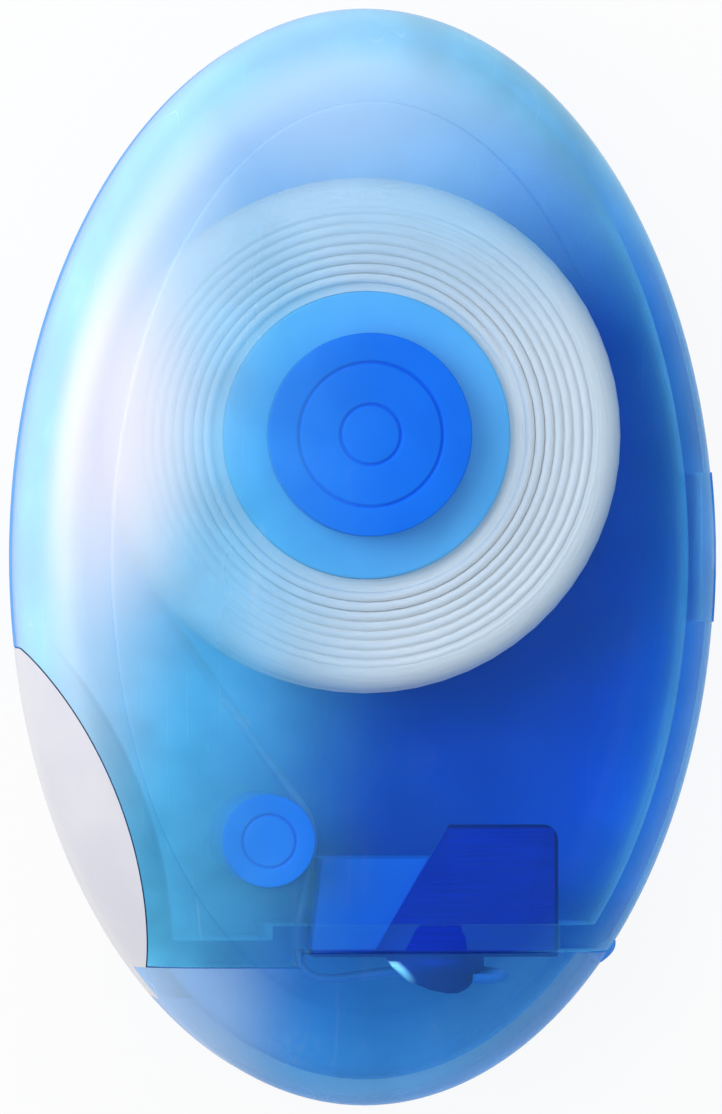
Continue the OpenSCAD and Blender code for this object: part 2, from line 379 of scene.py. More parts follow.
def swept_tube(route: Sequence[Vector], section: Sequence[tuple]) -> BMesh:
    """A tube along a route.

    Args:
        route: The points along its middle.
        section: The points of its section, as across and towards Z.

    Returns:
        The tube with closed ends.
    """
    bm = bmesh.new()
    loops: list[list] = []
    last, upright = len(route) - 1, Vector((0, 0, 1))
    for i, point in enumerate(route):
        along = (route[min(i + 1, last)] - route[max(i - 1, 0)]).normalized()
        side = upright.cross(along).normalized()
        up = along.cross(side)
        ring = [bm.verts.new(point + side * x + up * y) for x, y in section]
        edges = [bm.edges.new((ring[k - 1], ring[k])) for k in range(len(ring))]
        if loops:
            bmesh.ops.bridge_loops(bm, edges=loops[-1] + edges)
        else:
            bm.faces.new(ring)
        loops.append(edges)
        if i == last:
            bm.faces.new(ring)
    return closed(bm)


# Finishes


class Nodes:
    """The node tree of one material or group, with short calls to build it."""

    def __init__(self, tree: NodeTree) -> None:
        """Takes the tree and empties it.

        Args:
            tree: The node tree.
        """
        self.tree = tree
        tree.nodes.clear()

    def add(self, kind: str, settings: dict | None = None, **inputs) -> bpy.types.Node:
        """Adds a node.

        Args:
            kind: The node's type without its ShaderNode prefix.
            settings: Attributes to set on the node.
            inputs: Sockets to set or link, by name with _ for a space, or by number after i.

        Returns:
            The node.
        """
        node = self.tree.nodes.new(kind if kind.startswith("Node") else "ShaderNode" + kind)
        for key, value in (settings or {}).items():
            setattr(node, key, value)
        for key, value in inputs.items():
            name = int(key[1:]) if key[0] == "i" and key[1:].isdigit() else key.replace("_", " ")
            socket = node.inputs[name]
            if isinstance(value, Socket):
                self.tree.links.new(value, socket)
            else:
                socket.default_value = value
        return node

    def sum(self, how: str, first, second=0.5, clamp: bool = False) -> Socket:
        """The result of a sum of two values.

        Args:
            how: The operation.
            first: Value or socket.
            second: Value or socket.
            clamp: Whether the result stays from 0 to 1.

        Returns:
            The result's socket.
        """
        return self.add("Math", {"operation": how, "use_clamp": clamp}, i0=first, i1=second).outputs[0]

    def vector(self, how: str, first, second=(0, 0, 0), output: str = "Vector") -> Socket:
        """The result of a sum of two vectors.

        Args:
            how: The operation.
            first: Vector or socket.
            second: Vector or socket.
            output: Vector or Value, the kind of result.

        Returns:
            The result's socket.
        """
        return self.add("VectorMath", {"operation": how}, i0=first, i1=second).outputs[output]

    def ramp(self, value, low: float, high: float, start: float = 0, end: float = 1) -> Socket:
        """A value carried from one range to another, and held at its ends.

        Args:
            value: The socket.
            low: Value that gives start.
            high: Value that gives end.
            start: Result at low.
            end: Result at high.

        Returns:
            The result's socket.
        """
        node = self.add("MapRange", {"interpolation_type": "SMOOTHSTEP"}, Value=value)
        for name, number in (("From Min", low), ("From Max", high), ("To Min", start), ("To Max", end)):
            node.inputs[name].default_value = number
        return node.outputs["Result"]

    def blend(self, share, first, second) -> Socket:
        """A mix of two colours.

        Args:
            share: Value or socket, 0 for the first.
            first: Colour or socket.
            second: Colour or socket.

        Returns:
            The mixed colour's socket.
        """
        node = self.add("Mix", {"data_type": "RGBA"})
        for index, value in ((0, share), (6, first), (7, second)):
            if isinstance(value, Socket):
                self.tree.links.new(value, node.inputs[index])
            else:
                node.inputs[index].default_value = value if index == 0 else rgba(value)
        return node.outputs[2]


def rgba(colour: Colour) -> tuple[float, float, float, float]:
    """A colour with full alpha."""
    return (*colour, 1.0)


def new_material(name: str) -> tuple[Material, Nodes]:
    """A material with an empty node tree.

    Args:
        name: Its name.

    Returns:
        The material and its nodes.
    """
    made = bpy.data.materials.new(name)
    made.use_nodes = True
    return made, Nodes(made.node_tree)


def new_group(name: str, inputs: dict[str, float], outputs: Sequence[str]) -> tuple[Nodes, dict, object]:
    """A node group with named sockets.

    Args:
        name: The group's name.
        inputs: Its inputs with their defaults.
        outputs: Its outputs.

    Returns:
        Its nodes, its input sockets by name and its output node.
    """
    tree = bpy.data.node_groups.new(name, "ShaderNodeTree")
    for key, value in inputs.items():
        tree.interface.new_socket(key, in_out="INPUT", socket_type="NodeSocketFloat").default_value = value
    for key in outputs:
        tree.interface.new_socket(key, in_out="OUTPUT", socket_type="NodeSocketFloat")
    nodes = Nodes(tree)
    start = nodes.add("NodeGroupInput")
    return nodes, {key: start.outputs[key] for key in inputs}, nodes.add("NodeGroupOutput")


def handling_group() -> NodeTree:
    """Hairline scratches, scuffs and a faint mottle, as masks and a height.

    Returns:
        The group, with inputs Scratches and Scuffs, and outputs Marks, Height and Cloud.
    """
    inputs, outputs = {"Scratches": 1, "Scuffs": 1}, ("Marks", "Height", "Cloud")
    nodes, given, out = new_group("handling_marks", inputs, outputs)
    place = nodes.add("TexCoord").outputs["Object"]
    cloud = nodes.add("TexNoise", Vector=place, Scale=260.0, Detail=2.0).outputs["Fac"]
    mapped = nodes.add("Mapping", Vector=place, Rotation=(0, 0, 0.5), Scale=(700, 14, 300))
    wave = nodes.add("TexNoise", Vector=mapped.outputs[0], Scale=1.0, Detail=0.0).outputs["Fac"]
    off = nodes.sum("ABSOLUTE", nodes.sum("SUBTRACT", wave, 0.52))
    hair = nodes.sum("MULTIPLY", nodes.ramp(off, 0.0, 0.008, 0.45, 0), nodes.ramp(cloud, 0.45, 0.65))
    hair = nodes.sum("MULTIPLY", hair, given["Scratches"])
    grain = nodes.add("TexNoise", Vector=place, Scale=1900.0, Detail=1.0).outputs["Fac"]
    spots = nodes.sum("MULTIPLY", nodes.ramp(cloud, 0.6, 0.8), nodes.ramp(grain, 0.45, 0.7, 0, 0.3))
    spots = nodes.sum("MULTIPLY", spots, given["Scuffs"])
    nodes.tree.links.new(nodes.sum("MAXIMUM", hair, spots), out.inputs["Marks"])
    height = nodes.sum("SUBTRACT", nodes.sum("MULTIPLY", grain, 0.25), hair)
    nodes.tree.links.new(height, out.inputs["Height"])
    nodes.tree.links.new(cloud, out.inputs["Cloud"])
    return nodes.tree


class EggPlaces(NamedTuple):
    """Where a point of the egg is: shares of its half width and half length, and its height."""

    shares: Socket
    across: Socket
    along: Socket
    out: Socket
    left: Socket
    height: Socket


@dataclass(frozen=True)
class ClearPlastic:
    """Translucent moulded plastic: each face tints what shows through it and adds a milky body and gloss.

    Spans are where a mask starts and where it is full. Places are shares of the egg's half width and half
    length, and heights are in metres.
    """

    # The milk carries painted light: it is painted paler and thicker on the lit upper left and at the round
    # end, and a whitish painted highlight lies on the upper left.
    name: str
    tint: Colour
    body: Colour
    haze: float
    rim_haze: float
    roughness: float
    # Share of milk painted on the lit side: painted light on the left and at the round end.
    cloud: float = 0.0
    # Painted light: the paler colour of the milk where the lamps light the upper left and the round end,
    # where it lies and how it fades towards the rim.
    lit_tone: Colour = (0.62, 0.82, 1.0)
    pale: Span = (0.35, 0.85)
    pale_in: Span = (0.86, 0.96)
    pale_rim: float = 0.5
    upwards: float = 0.3
    top_span: Span = (0.4, 0.82)
    top_across: Span = (-0.2, 0.6)
    top_shares: Span = (0.85, 0.3)
    # Painted highlight: a whitish patch painted on the upper left where the soft box would reflect; its
    # colour, place, size, fade, milk share and end before the rim.
    veil: Colour = (0.9, 0.88, 0.97)
    highlight_at: Span = (-0.76, 0.25)
    highlight_scale: Span = (2.9, 2.3)
    highlight_fade: Span = (0.2, 1.0)
    highlight_haze: float = 0.0
    highlight_in: Span = (0.86, 0.95)
    band: Colour = (0.06, 0.34, 0.82)
    band_haze: float = 0.35
    ior: float = 1.15
    most_mirror: float = 0.03
    marks: float = 0.7
    mark_white: float = 0.6
    mottle: float = 0.75
    egg_half: Span = (0.0176, 0.0275)
    joint: float = 0.007
    # Painted light: the lit side, the left and the round end, where more milk is painted.
    leftwards: Triple = (-0.95, 0.12, 0)
    left_span: Span = (-0.12, 0.8)
    crown_span: Span = (0.36, 0.9)
    crown_across: Span = (0, 0.8)
    crown_shares: Span = (0.82, 0.72)
    rim_span: Span = (0.8, 0.95)
    bend_power: float = 1.6
    bend_haze: float = 0.08
    # Share of the painted lit-side milk that is also added where the wall bends away.
    bend_lit_share: float = 0.3
    belt_span: Span = (0.0005, 0.0045)
    joint_faces: Span = (0.00002, 0.00008)

    def places(self, nodes: Nodes) -> EggPlaces:
        """Says where each point is on the egg.

        Args:
            nodes: The material's nodes.

        Returns:
            The places.
        """
        place = nodes.add("TexCoord").outputs["Object"]
        height = nodes.add("SeparateXYZ", Vector=place).outputs["Z"]
        shares = nodes.vector("MULTIPLY", place, (1 / self.egg_half[0], 1 / self.egg_half[1], 0))
        parts = nodes.add("SeparateXYZ", Vector=shares)
        out = nodes.vector("LENGTH", shares, output="Value")
        left = nodes.vector("DOT_PRODUCT", shares, self.leftwards, "Value")
        return EggPlaces(shares, parts.outputs["X"], parts.outputs["Y"], out, left, height)

    def lit_side_mask(self, nodes: Nodes, at: EggPlaces) -> Socket:
        """Painted light: the lit side, the left and the round end, where more milk is painted.

        Args:
            nodes: The material's nodes.
            at: Places on the egg.

        Returns:
            The mask.
        """
        rightwards = nodes.ramp(at.across, *self.crown_across, *self.crown_shares)
        crown = nodes.sum("MULTIPLY", nodes.ramp(at.along, *self.crown_span), rightwards)
        return nodes.sum("MAXIMUM", nodes.ramp(at.left, *self.left_span), crown)

    def highlight_mask(self, nodes: Nodes, at: EggPlaces) -> Socket:
        """A painted highlight: the whitest patch, where the soft box would reflect, which ends before the
        rim.

        Args:
            nodes: The material's nodes.
            at: Places on the egg.

        Returns:
            The mask.
        """
        patch = nodes.vector("SUBTRACT", at.shares, (*self.highlight_at, 0))
        near = nodes.vector("LENGTH", nodes.vector("MULTIPLY", patch, (*self.highlight_scale, 0)), output="Value")
        patch = nodes.ramp(near, *self.highlight_fade, 1, 0)
        return nodes.sum("MULTIPLY", patch, nodes.ramp(at.out, *self.highlight_in, 1, 0))

    def belt_mask(self, nodes: Nodes, at: EggPlaces) -> Socket:
        """The sides near the joint between the halves, without the faces in the joint.

        Args:
            nodes: The material's nodes.
            at: Places on the egg.

        Returns:
            The mask.
        """
        off = nodes.sum("ABSOLUTE", nodes.sum("SUBTRACT", at.height, self.joint))
        belt = nodes.ramp(off, *self.belt_span, 1, 0)
        return nodes.sum("MULTIPLY", belt, nodes.ramp(off, *self.joint_faces))

    def haze_share(self, nodes: Nodes, at: EggPlaces, lit_side: Socket, white: Socket, belt: Socket) -> Socket:
        """How much of the milky body shows: more where the wall bends away, and more on the lit side and in
        the highlight, which are painted light.

        Args:
            nodes: The material's nodes.
            at: Places on the egg.
            lit_side: Mask of the painted lit side.
            white: Mask of the painted highlight.
            belt: Mask of the sides.

        Returns:
            The share, 0 to 1.
        """
        edge = nodes.sum("POWER", nodes.add("LayerWeight", Blend=0.5).outputs["Facing"], self.bend_power)
        bent = nodes.sum("ADD", nodes.sum("MULTIPLY", edge, self.rim_haze), self.bend_haze)
        # Painted light: more milk on the lit side, also where the wall bends away.
        bent = nodes.sum("ADD", bent, nodes.sum("MULTIPLY", lit_side, self.cloud * self.bend_lit_share))
        haze = nodes.sum("ADD", nodes.sum("MULTIPLY", nodes.ramp(at.out, *self.rim_span), bent), self.haze)
        # The lit side and the highlight add painted light as more milk; the belt adds milk along the sides.
        for mask, share in ((lit_side, self.cloud), (white, self.highlight_haze), (belt, self.band_haze)):
            haze = nodes.sum("ADD", haze, nodes.sum("MULTIPLY", mask, share), clamp=True)
        return haze

    def milk_colour(
        self, nodes: Nodes, at: EggPlaces, worn: bpy.types.Node, white: Socket, belt: Socket
    ) -> Socket:
        """The milky body's colour: mottled, painted paler on the upper left and at the round end where the
        lamps light it, and with a painted highlight.

        Args:
            nodes: The material's nodes.
            at: Places on the egg.
            worn: The node of the handling marks.
            white: Mask of the painted highlight.
            belt: Mask of the sides.

        Returns:
            The colour.
        """
        mark = tuple(self.mark_white + (1 - self.mark_white) * c for c in self.body)
        deep = tuple(self.mottle * c for c in self.body)
        colour = nodes.blend(nodes.ramp(worn.outputs["Cloud"], 0.3, 0.7), deep, self.body)
        # Painted light: the round end and the upper left are painted paler, less so near the rim.
        rightwards = nodes.ramp(at.across, *self.top_across, *self.top_shares)
        top = nodes.sum("MULTIPLY", nodes.ramp(at.along, *self.top_span), rightwards)
        high_left = nodes.sum("ADD", at.left, nodes.sum("MULTIPLY", at.along, self.upwards))
        pale = nodes.sum("MAXIMUM", nodes.ramp(high_left, *self.pale), top)
        pale = nodes.sum("MULTIPLY", pale, nodes.ramp(at.out, *self.pale_in, 1, self.pale_rim))
        # The paler lit tone and the whitish highlight are painted light.
        tones = ((pale, self.lit_tone), (white, self.veil), (belt, self.band), (worn.outputs["Marks"], mark))
        for mask, tone in tones:
            colour = nodes.blend(mask, colour, tone)
        return colour

    def material(self, handling: NodeTree) -> Material:
        """Builds the material.

        Args:
            handling: The group of handling marks.

        Returns:
            The material.
        """
        made, nodes = new_material(self.name)
        worn = nodes.add("Group", {"node_tree": handling}, Scratches=self.marks, Scuffs=self.marks)
        bump = nodes.add("Bump", Strength=0.06, Distance=0.00003, Height=worn.outputs["Height"])
        at = self.places(nodes)
        # Painted light: the highlight and the lit side are masks on the egg.
        white, belt = self.highlight_mask(nodes, at), self.belt_mask(nodes, at)
        haze = self.haze_share(nodes, at, self.lit_side_mask(nodes, at), white, belt)
        colour = self.milk_colour(nodes, at, worn, white, belt)
        rough = nodes.sum("ADD", nodes.sum("MULTIPLY", worn.outputs["Marks"], 0.2), self.roughness)
        through = nodes.add("BsdfTransparent", Color=rgba(self.tint))
        milk = nodes.add(
            "BsdfPrincipled", Base_Color=colour, Roughness=rough, IOR=self.ior, Normal=bump.outputs["Normal"]
        )
        inside = nodes.add("MixShader", i0=haze, i1=through.outputs[0], i2=milk.outputs[0])
        gloss = nodes.add("BsdfGlossy", Color=rgba((1, 1, 1)), Roughness=rough, Normal=bump.outputs["Normal"])
        mirror = nodes.sum("MINIMUM", nodes.add("Fresnel", IOR=self.ior).outputs[0], self.most_mirror)
        outside = nodes.sum("SUBTRACT", 1.0, nodes.add("NewGeometry").outputs["Backfacing"])
        mirror = nodes.sum("MULTIPLY", mirror, outside)
        face = nodes.add("MixShader", i0=mirror, i1=inside.outputs[0], i2=gloss.outputs[0])
        shadow = nodes.add("LightPath").outputs["Is Shadow Ray"]
        last = nodes.add("MixShader", i0=shadow, i1=face.outputs[0], i2=through.outputs[0])
        nodes.add("OutputMaterial", Surface=last.outputs[0])
        return made


@dataclass(frozen=True)
class MouldedPlastic:
    """Solid coloured plastic with a faint mottle and handling marks."""

    name: str
    colour: Colour
    deep: Colour
    roughness: float
    coat: float = 0.2
    marks: float = 0.5
    ior: float = 1.2

    def material(self, handling: NodeTree) -> Material:
        """Builds the material.

        Args:
            handling: The group of handling marks.

        Returns:
            The material.
        """
        made, nodes = new_material(self.name)
        worn = nodes.add("Group", {"node_tree": handling}, Scratches=self.marks, Scuffs=self.marks)
        bump = nodes.add("Bump", Strength=0.1, Distance=0.00003, Height=worn.outputs["Height"])
        share = nodes.ramp(worn.outputs["Cloud"], 0.3, 0.7)
        colour = nodes.blend(share, self.deep, self.colour)
        rough = nodes.sum("ADD", nodes.sum("MULTIPLY", worn.outputs["Marks"], 0.2), self.roughness)
        shader = nodes.add(
            "BsdfPrincipled", Base_Color=colour, Roughness=rough, Normal=bump.outputs["Normal"],
            IOR=self.ior, Coat_Weight=self.coat, Coat_Roughness=0.15,
        )
        nodes.add("OutputMaterial", Surface=shader.outputs[0])
        return made


@dataclass(frozen=True)
class WaxedFloss:
    """Waxed white thread, with fibres that run round the spool."""

    name: str
    colour: Colour
    shade: Colour
    roughness: float
    centre: Span
    per_turn: float = 3.0
    fineness: float = 4500

    def material(self) -> Material:
        """Builds the material.

        Returns:
            The material.
        """
        made, nodes = new_material(self.name)
        place = nodes.add(
            "Mapping", Vector=nodes.add("TexCoord").outputs["Object"],
            Location=(-self.centre[0] * MM, -self.centre[1] * MM, 0),
        )
        parts = nodes.add("SeparateXYZ", Vector=place.outputs[0])
        reach = nodes.vector("LENGTH", place.outputs[0], output="Value")
        turn = nodes.sum("ARCTAN2", parts.outputs["Y"], parts.outputs["X"])
        lie = nodes.add(
            "CombineXYZ", X=nodes.sum("MULTIPLY", turn, self.per_turn),
            Y=nodes.sum("MULTIPLY", reach, self.fineness),
            Z=nodes.sum("MULTIPLY", parts.outputs["Z"], self.fineness),
        )
        fibre = nodes.add("TexNoise", Vector=lie.outputs[0], Scale=2.2, Detail=4.0, Roughness=0.65)
        bump = nodes.add("Bump", Strength=0.35, Distance=0.00008, Height=fibre.outputs["Fac"])
        colour = nodes.blend(nodes.ramp(fibre.outputs["Fac"], 0.3, 0.62), self.shade, self.colour)
        shader = nodes.add(
            "BsdfPrincipled", Base_Color=colour, Roughness=self.roughness, Normal=bump.outputs["Normal"],
            Sheen_Weight=0.15,
        )
        nodes.add("OutputMaterial", Surface=shader.outputs[0])
        return made


@dataclass(frozen=True)
class StampedSteel:
    """Stainless sheet with rolling lines, with painted shade along its right and top rims and at the fold,
    and a painted highlight along the tooth's left edge.

    Spans are in metres, from where a mask starts to where it is full.
    """

    name: str
    colour: Colour
    roughness: float
    # Painted shade along the right and top rims and at the fold.
    edge: Colour = (0.0, 0.01, 0.26)
    # Painted highlight along the tooth's left edge.
    glint: Colour = (0.95, 0.97, 1.0)
    # Where the painted shade lies.
    right_rim: Span = (0.0094, 0.00955)
    top_rim: Span = (-0.01365, -0.0135)
    folded: Span = (-0.0197, -0.0198)
    # Where the painted highlight lies.
    glint_across: Triple = (0.68, 0.73, 0)
    glint_line: Span = (-0.0136, -0.0139)
    glint_under: Span = (-0.0202, -0.0203)
    glint_end: Span = (0.0026, 0.0018)

    def material(self, handling: NodeTree) -> Material:
        """Builds the material.

        Args:
            handling: The group of handling marks.

        Returns:
            The material.
        """
        made, nodes = new_material(self.name)
        place = nodes.add("TexCoord").outputs["Object"]
        rolled = nodes.add("Mapping", Vector=place, Scale=(300, 9000, 9000))
        lines = nodes.add("TexNoise", Vector=rolled.outputs[0], Scale=1.0, Detail=3.0).outputs["Fac"]
        worn = nodes.add("Group", {"node_tree": handling}, Scratches=1.0, Scuffs=0.6)
        height = nodes.sum("ADD", lines, worn.outputs["Height"])
        bump = nodes.add("Bump", Strength=0.06, Distance=0.00003, Height=height)
        rough = nodes.sum("ADD", nodes.sum("MULTIPLY", lines, 0.12), self.roughness)
        dark = tuple(c * 0.85 for c in self.colour)
        colour = nodes.blend(nodes.ramp(lines, 0.35, 0.65), dark, self.colour)
        parts = nodes.add("SeparateXYZ", Vector=place)
        across, up = parts.outputs["X"], parts.outputs["Y"]
        # Painted shade: darker along the right and top rims and at the fold.
        rim = nodes.sum("MAXIMUM", nodes.ramp(across, *self.right_rim), nodes.ramp(up, *self.top_rim))
        colour = nodes.blend(nodes.sum("MAXIMUM", rim, nodes.ramp(up, *self.folded)), colour, self.edge)
        # Painted highlight: a bright band along the tooth's left edge.
        slope = nodes.vector("DOT_PRODUCT", place, self.glint_across, "Value")
        glint = nodes.ramp(slope, *self.glint_line)
        for value, span in ((up, self.glint_under), (across, self.glint_end)):
            glint = nodes.sum("MULTIPLY", glint, nodes.ramp(value, *span))
        colour = nodes.blend(glint, colour, self.glint)
        shader = nodes.add(
            "BsdfPrincipled", Base_Color=colour, Metallic=1.0, Roughness=rough, Normal=bump.outputs["Normal"]
        )
        nodes.add("OutputMaterial", Surface=shader.outputs[0])
        return made


# Sizes shared by the pieces, in millimetres


@dataclass(frozen=True)
class Egg:
    """The egg form of the case and the lid, measured on the construction where it shows there."""

    half_w: float
    half_len: float
    thick: float
    wall: float = 1.3
    edge_r: float = 4.6
    pad_h: float = 0.2
    pad_half_w: float = 13.1
    pad_half_len: float = 22.7
    pad_edge: float = 0.2
    steps: int = 200
    bend_steps: int = 14

    @classmethod
    def measured(cls) -> "Egg":
        """Reads the egg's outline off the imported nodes."""
        low, high = mm_box("front_shell")
        return cls(half_w=-low.x, half_len=high.y, thick=high.z)

    @property
    def mid(self) -> float:
        """Height of the joint between the halves."""
        return self.thick / 2

    def face_rings(self, side: int, inset: float, joint: float) -> list[Ring]:
        """Rings from the middle of a face out to the joint between the halves.

        Args:
            side: 1 for the front face, -1 for the back face.
            inset: Depth of the surface under the outside.
            joint: Distance of the last ring from the joint.

        Returns:
            The rings, the middle of the face first.
        """
        share = (self.half_w - inset) / (self.half_len - inset)
        flat = self.half_len - self.edge_r
        rise = self.mid - self.pad_h - self.edge_r
        bend = arc((flat, rise), self.edge_r - inset, 90, 0, self.bend_steps)
        outline = bend + [(self.half_len - inset, joint)]
        rings = [Ring(share * r, r, self.mid + side * z) for r, z in outline]
        level = rings[0].z
        if inset:
            return [Ring(0, 0, level), Ring(rings[0].a / 2, rings[0].b / 2, level)] + rings
        return self.pad_rings(side) + rings

    def pad_rings(self, side: int) -> list[Ring]:
        """Rings of the flat pad, from its middle to its foot, with a rounded edge.

        Args:
            side: 1 for the front face, -1 for the back face.

        Returns:
            The rings.
        """
        top = self.mid
        edge = arc((-self.pad_edge, -self.pad_h), self.pad_edge, 90, 0, 5)
        spread = [(self.pad_half_w * t, self.pad_half_len * t) for t in (0, 0.3, 0.6, 0.85, 0.95)]
        rings = [Ring(a, b, self.mid + side * top) for a, b in spread]
        w, length = self.pad_half_w, self.pad_half_len
        return rings + [Ring(w + r, length + r, self.mid + side * (top + z)) for r, z in edge]

    def whole(self, inset: float, name: str) -> Object:
        """The egg at an inset, as one closed solid.

        Args:
            inset: Depth under the outside.
            name: The object's name.

        Returns:
            The object.
        """
        rings = self.face_rings(1, inset, 0) + self.face_rings(-1, inset, 0)[::-1][1:]
        return solid(name, spun_rings(rings, self.steps))


@dataclass(frozen=True)
class LidSpace:
    """What the case leaves free at its foot: the lid's space, the cutter's step and the thumb hollow."""

    platform: float = -20.4
    step: float = -19.7
    step_x: float = -3.6
    hollow_x: float = -34.5
    hollow_r: float = 23.4
    gap: float = 0.07
    reach: float = 60
    past: float = 5
    drum_steps: int = 360

    def tools(self, grow: float, thick: float) -> list[BMesh]:
        """Solids that cut the space out of the case.

        Args:
            grow: How far they stand into the case.
            thick: Thickness of the case.

        Returns:
            The three solids.
        """
        far, low, high = self.reach, -self.past, thick + self.past
        return [
            block((-far, -far, low), (far, self.platform + grow, high)),
            block((self.step_x - grow, -far, low), (far, self.step + grow, high)),
            self.drum(self.hollow_r + grow, low, high),
        ]

    def drum(self, radius: float, z0: float, z1: float) -> BMesh:
        """A drum about the middle of the thumb hollow.

        Args:
            radius: Its radius.
            z0: Height of its foot.
            z1: Height of its top.

        Returns:
            The drum.
        """
        rings = [Ring(0, 0, z0), Ring(radius, radius, z0), Ring(radius, radius, z1), Ring(0, 0, z1)]
        return spun_rings(rings, self.drum_steps, (self.hollow_x, self.platform))


@dataclass
class Case:
    """The two halves of the case with what is moulded on them, and the strap that joins them."""

    egg: Egg
    space: LidSpace
    walls: dict[Half, Material]
    strap_finish: Material
    core: Material
    hub: Span = HUB
    guide: Span = (-5.08, -14.16)
    parting: float = 0.08
    joint_gap: float = 0.01
    past_joint: float = 3
    root: float = 0.3
    window_x: Span = (-2.75, 9.75)
    window_z: Span = (3.5, 10.15)
    outlet_w: float = 0.9
    outlet_z: Span = (6.3, 7.7)
    collar_r: float = 5.08
    collar_z: Span = (3.1, 10.9)
    post_r: float = 4.5
    post_bore: float = 3.7
    post_top: float = 11.85
    plug_r: float = 4.6
    skirt_r: float = 3.6
    core_r: float = 1.5
    plug_z: Triple = (1.9, 11.9, 12.2)
    ring: float = 0.1
    ring_floor: float = 12.6
    socket_r: float = 2.31
    socket_bore: float = 1.35
    socket_z: Span = (2.8, 11.25)
    socket_ring: Span = (1.32, 0.08)
    pin_r: float = 1.3
    pin_top: float = 11.2
    snap_y: Span = (-2.4, 0.2)
    snap_x: Triple = (-15.9, -15.5, -14.3)
    snap_z: Span = (5.0, 5.8)
    ledge_x: Span = (-16.3, -15.55)
    ledge_z: Span = (5.85, 6.65)
    soft: float = 0.12
    round_steps: int = 96
    strap_y: Span = (-3.25, 4.25)
    strap_z: Span = (3.6, 10.4)
    strap_t: float = 0.8
    strap_fold: float = 0.35
    strap_proud: float = 0.08

    @property
    def rooted(self) -> Span:
        """Heights at which moulded features start, inside the back wall and the front wall."""
        depth = self.egg.pad_h + self.egg.wall - self.root
        return depth, self.egg.thick - depth

    def build(self) -> None:
        """Makes every piece of the case."""
        self.half_shell(Half.FRONT)
        self.half_shell(Half.BACK)
        self.hub_pieces()
        self.guide_pieces()
        self.snap_pieces()
        self.strap()

    def half_shell(self, half: Half) -> None:
        """One half of the case: its skin, its walls beside the lid and the thumb hollow.

        Args:
            half: Which half.
        """
        egg, side = self.egg, half.value
        outer = egg.face_rings(side, 0, self.parting)
        joint = egg.mid + side * self.joint_gap
        edge = outer[-1]
        outer.append(Ring(edge.a - self.parting, edge.b - self.parting, joint))
        outer.append(Ring(0, 0, joint))
        name = f"{half.name.lower()}_shell_wall"
        shell = solid(name, spun_rings(outer, egg.steps))
        cavity = solid("cavity", spun_rings(self.cavity_rings(half), egg.steps))
        carved(cavity, Carve.CUT, *self.space.tools(egg.wall, egg.thick))
        carved(shell, Carve.CUT, mesh_of(cavity), *self.space.tools(0, egg.thick), *self.openings())
        shown(shell, name, Body.CASE, self.walls[half], [f"{half.name.lower()}_shell"])

    def cavity_rings(self, half: Half) -> list[Ring]:
        """Rings of the hollow inside one half.

        Args:
            half: Which half.

        Returns:
            The rings, closed past the joint.
        """
        egg, side = self.egg, half.value
        rings = egg.face_rings(side, egg.wall, 0)
        last = rings[-1]
        beyond = egg.mid - side * self.past_joint
        return rings + [Ring(last.a, last.b, beyond), Ring(0, 0, beyond)]

    def openings(self) -> list[BMesh]:
        """Solids of the cutter's window, the floss outlet and the strap's seat.

        Returns:
            The three solids.
        """
        space, w = self.space, self.egg.half_w
        foot, top = space.platform - 1, space.step + self.egg.wall + 1
        outlet = space.step_x + self.outlet_w
        (x0, x1), (z0, z1), (low, high) = self.window_x, self.window_z, self.outlet_z
        (near, far), (under, over) = self.strap_y, self.strap_z
        return [
            block((x0, foot, z0), (x1, top, z1)),
            block((space.step_x, foot, low), (outlet, top, high)),
            block((w - self.strap_t, near, under), (w + 1, far, over)),
        ]

    def hub_pieces(self) -> None:
        """The post on the back half, and the plug with its flange and collar on the front half."""
        floor, ceiling = self.rooted
        bore, collar, outer, top = self.post_bore, self.collar_r, self.post_r, self.post_top
        low, high = self.collar_z
        post = [(bore, floor), (collar, floor), (collar, low), (outer, low), (outer, top), (bore, top)]
        self.turned("hub_post", post, self.hub)
        core, skirt, wide = self.core_r, self.skirt_r, self.plug_r
        foot, head, flange = self.plug_z
        plug = [(0, head), (core, head), (core, foot), (skirt, foot), (skirt, flange), (wide, flange),
                (wide, high), (collar, high), (collar, ceiling)]
        face = self.faint_ring(skirt, self.ring) + self.faint_ring(core, self.ring) + [(0, ceiling)]
        self.turned("hub_plug", plug + face, self.hub)

    def faint_ring(self, radius: float, half: float) -> list[tuple]:
        """Section of the groove of a faint ring in a face at the front wall, from its outer edge inwards.

        Args:
            radius: Radius of the ring.
            half: Half its width.

        Returns:
            The three points of the groove.
        """
        ceiling = self.rooted[1]
        return [(radius + half, ceiling), (radius, self.ring_floor), (radius - half, ceiling)]

    def guide_pieces(self) -> None:
        """The pin and the socket that the floss runs round. The socket is closed at the front wall."""
        floor, ceiling = self.rooted
        pin, top, bore, wide = self.pin_r, self.pin_top, self.socket_bore, self.socket_r
        self.turned("guide_pin", [(0, floor), (pin, floor), (pin, top), (0, top)], self.guide)
        low, roof = self.socket_z
        socket = [(0, roof), (bore, roof), (bore, low), (wide, low), (wide, ceiling)]
        self.turned("guide_socket", socket + self.faint_ring(*self.socket_ring) + [(0, ceiling)], self.guide)

    def turned(self, name: str, outline: Sequence[tuple], centre: Span) -> None:
        """Makes a round feature of the case.

        Args:
            name: Its name.
            outline: Its section.
            centre: Place of its axis.
        """
        bm = turned_solid(softened(outline, self.soft), self.round_steps, centre)
        shown(bm, name, Body.CASE, self.core)

